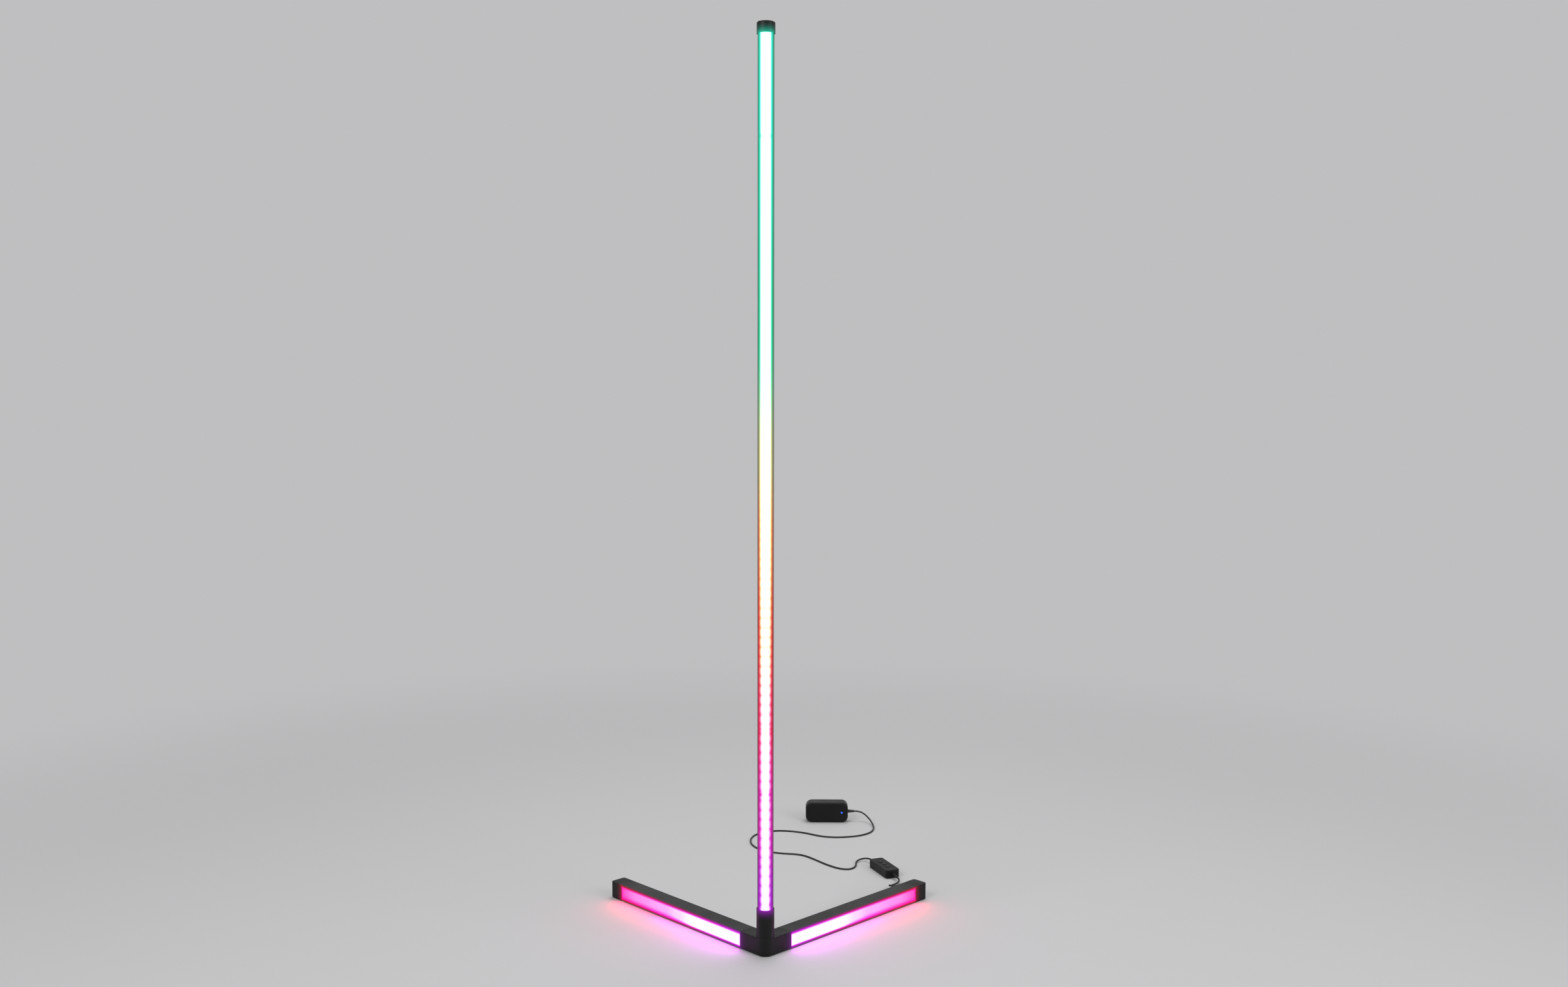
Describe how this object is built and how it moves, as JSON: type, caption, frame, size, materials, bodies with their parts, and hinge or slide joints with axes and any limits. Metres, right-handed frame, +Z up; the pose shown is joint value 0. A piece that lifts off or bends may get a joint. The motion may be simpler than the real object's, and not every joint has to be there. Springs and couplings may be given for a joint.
{
  "type": "led floor lamp",
  "caption": "Corner floor lamp with an upright light pole rising from a V-shaped base of light bars, with an in-line push-button controller and a plug-in power adapter.",
  "frame": {"origin": "on the floor, on the axis of the pole, under the hub's foot pad", "axes": "+Z up along the pole; the apex of the base points to -Y and the legs run back to +X+Y and -X+Y"},
  "size_m": [0.604, 0.851, 1.588],
  "materials": {
    "black_plastic": "satin",
    "black_aluminium": "satin",
    "pole_cover": "satin",
    "bar_cover": "satin",
    "led_strip": "matte",
    "led": "gloss",
    "steel": "satin",
    "black_screw": "satin",
    "foot_rubber": "matte",
    "circuit_board": "satin",
    "inner_wire": "matte",
    "lead_jacket": "satin",
    "button": "matte",
    "switch": "matte",
    "nickel_pin": "polished",
    "indicator": "gloss",
    "transformer": "matte"
  },
  "bodies": {
    "lamp": {"corner_hub_shell": "black_plastic", "hub_bottom_cover": "black_plastic", "pole_socket": "black_plastic", "pole_top_cap": "black_plastic", "left_end_cap": "black_plastic", "right_end_cap": "black_plastic", "controller_case_top": "black_plastic", "controller_case_bottom": "black_plastic", "adapter_front_case": "black_plastic", "adapter_back_case": "black_plastic", "dc_jack": "black_plastic", "pole_channel": "black_aluminium", "left_bar_channel": "black_aluminium", "right_bar_channel": "black_aluminium", "pole_diffuser": "pole_cover", "left_bar_diffuser": "bar_cover", "right_bar_diffuser": "bar_cover", "pole_led_strip": "led_strip", "left_bar_led_strip": "led_strip", "right_bar_led_strip": "led_strip", "pole_leds": "led", "left_bar_leds": "led", "right_bar_leds": "led", "corner_bracket": "steel", "socket_washer": "steel", "socket_nut": "steel", "frame_screws": "black_screw", "hub_cover_screws": "black_screw", "controller_screws": "black_screw", "hub_foot_pad": "foot_rubber", "left_foot_pad": "foot_rubber", "right_foot_pad": "foot_rubber", "junction_board": "circuit_board", "controller_board": "circuit_board", "adapter_board": "circuit_board", "pole_wires": "inner_wire", "left_bar_wires": "inner_wire", "right_bar_wires": "inner_wire", "feed_cable": "inner_wire", "lamp_lead": "lead_jacket", "adapter_lead": "lead_jacket", "lamp_lead_relief": "lead_jacket", "adapter_lead_relief": "lead_jacket", "lamp_plug": "lead_jacket", "adapter_boot": "lead_jacket", "tact_switches": "switch", "adapter_pins": "nickel_pin", "adapter_indicator": "indicator", "adapter_transformer": "transformer"},
    "power_button": {"power_button": "button"},
    "mode_button": {"mode_button": "button"},
    "speed_button": {"speed_button": "button"}
  },
  "joints": [
    {"name": "power_press", "type": "slide", "parent": "lamp", "child": "power_button", "axis": [0, 0, -1], "range_m": [0, 0.0008], "stiffness_N_per_m": 500, "springref_m": -0.0008},
    {"name": "mode_press", "type": "slide", "parent": "lamp", "child": "mode_button", "axis": [0, 0, -1], "range_m": [0, 0.0008], "stiffness_N_per_m": 500, "springref_m": -0.0008},
    {"name": "speed_press", "type": "slide", "parent": "lamp", "child": "speed_button", "axis": [0, 0, -1], "range_m": [0, 0.0008], "stiffness_N_per_m": 500, "springref_m": -0.0008}
  ]
}
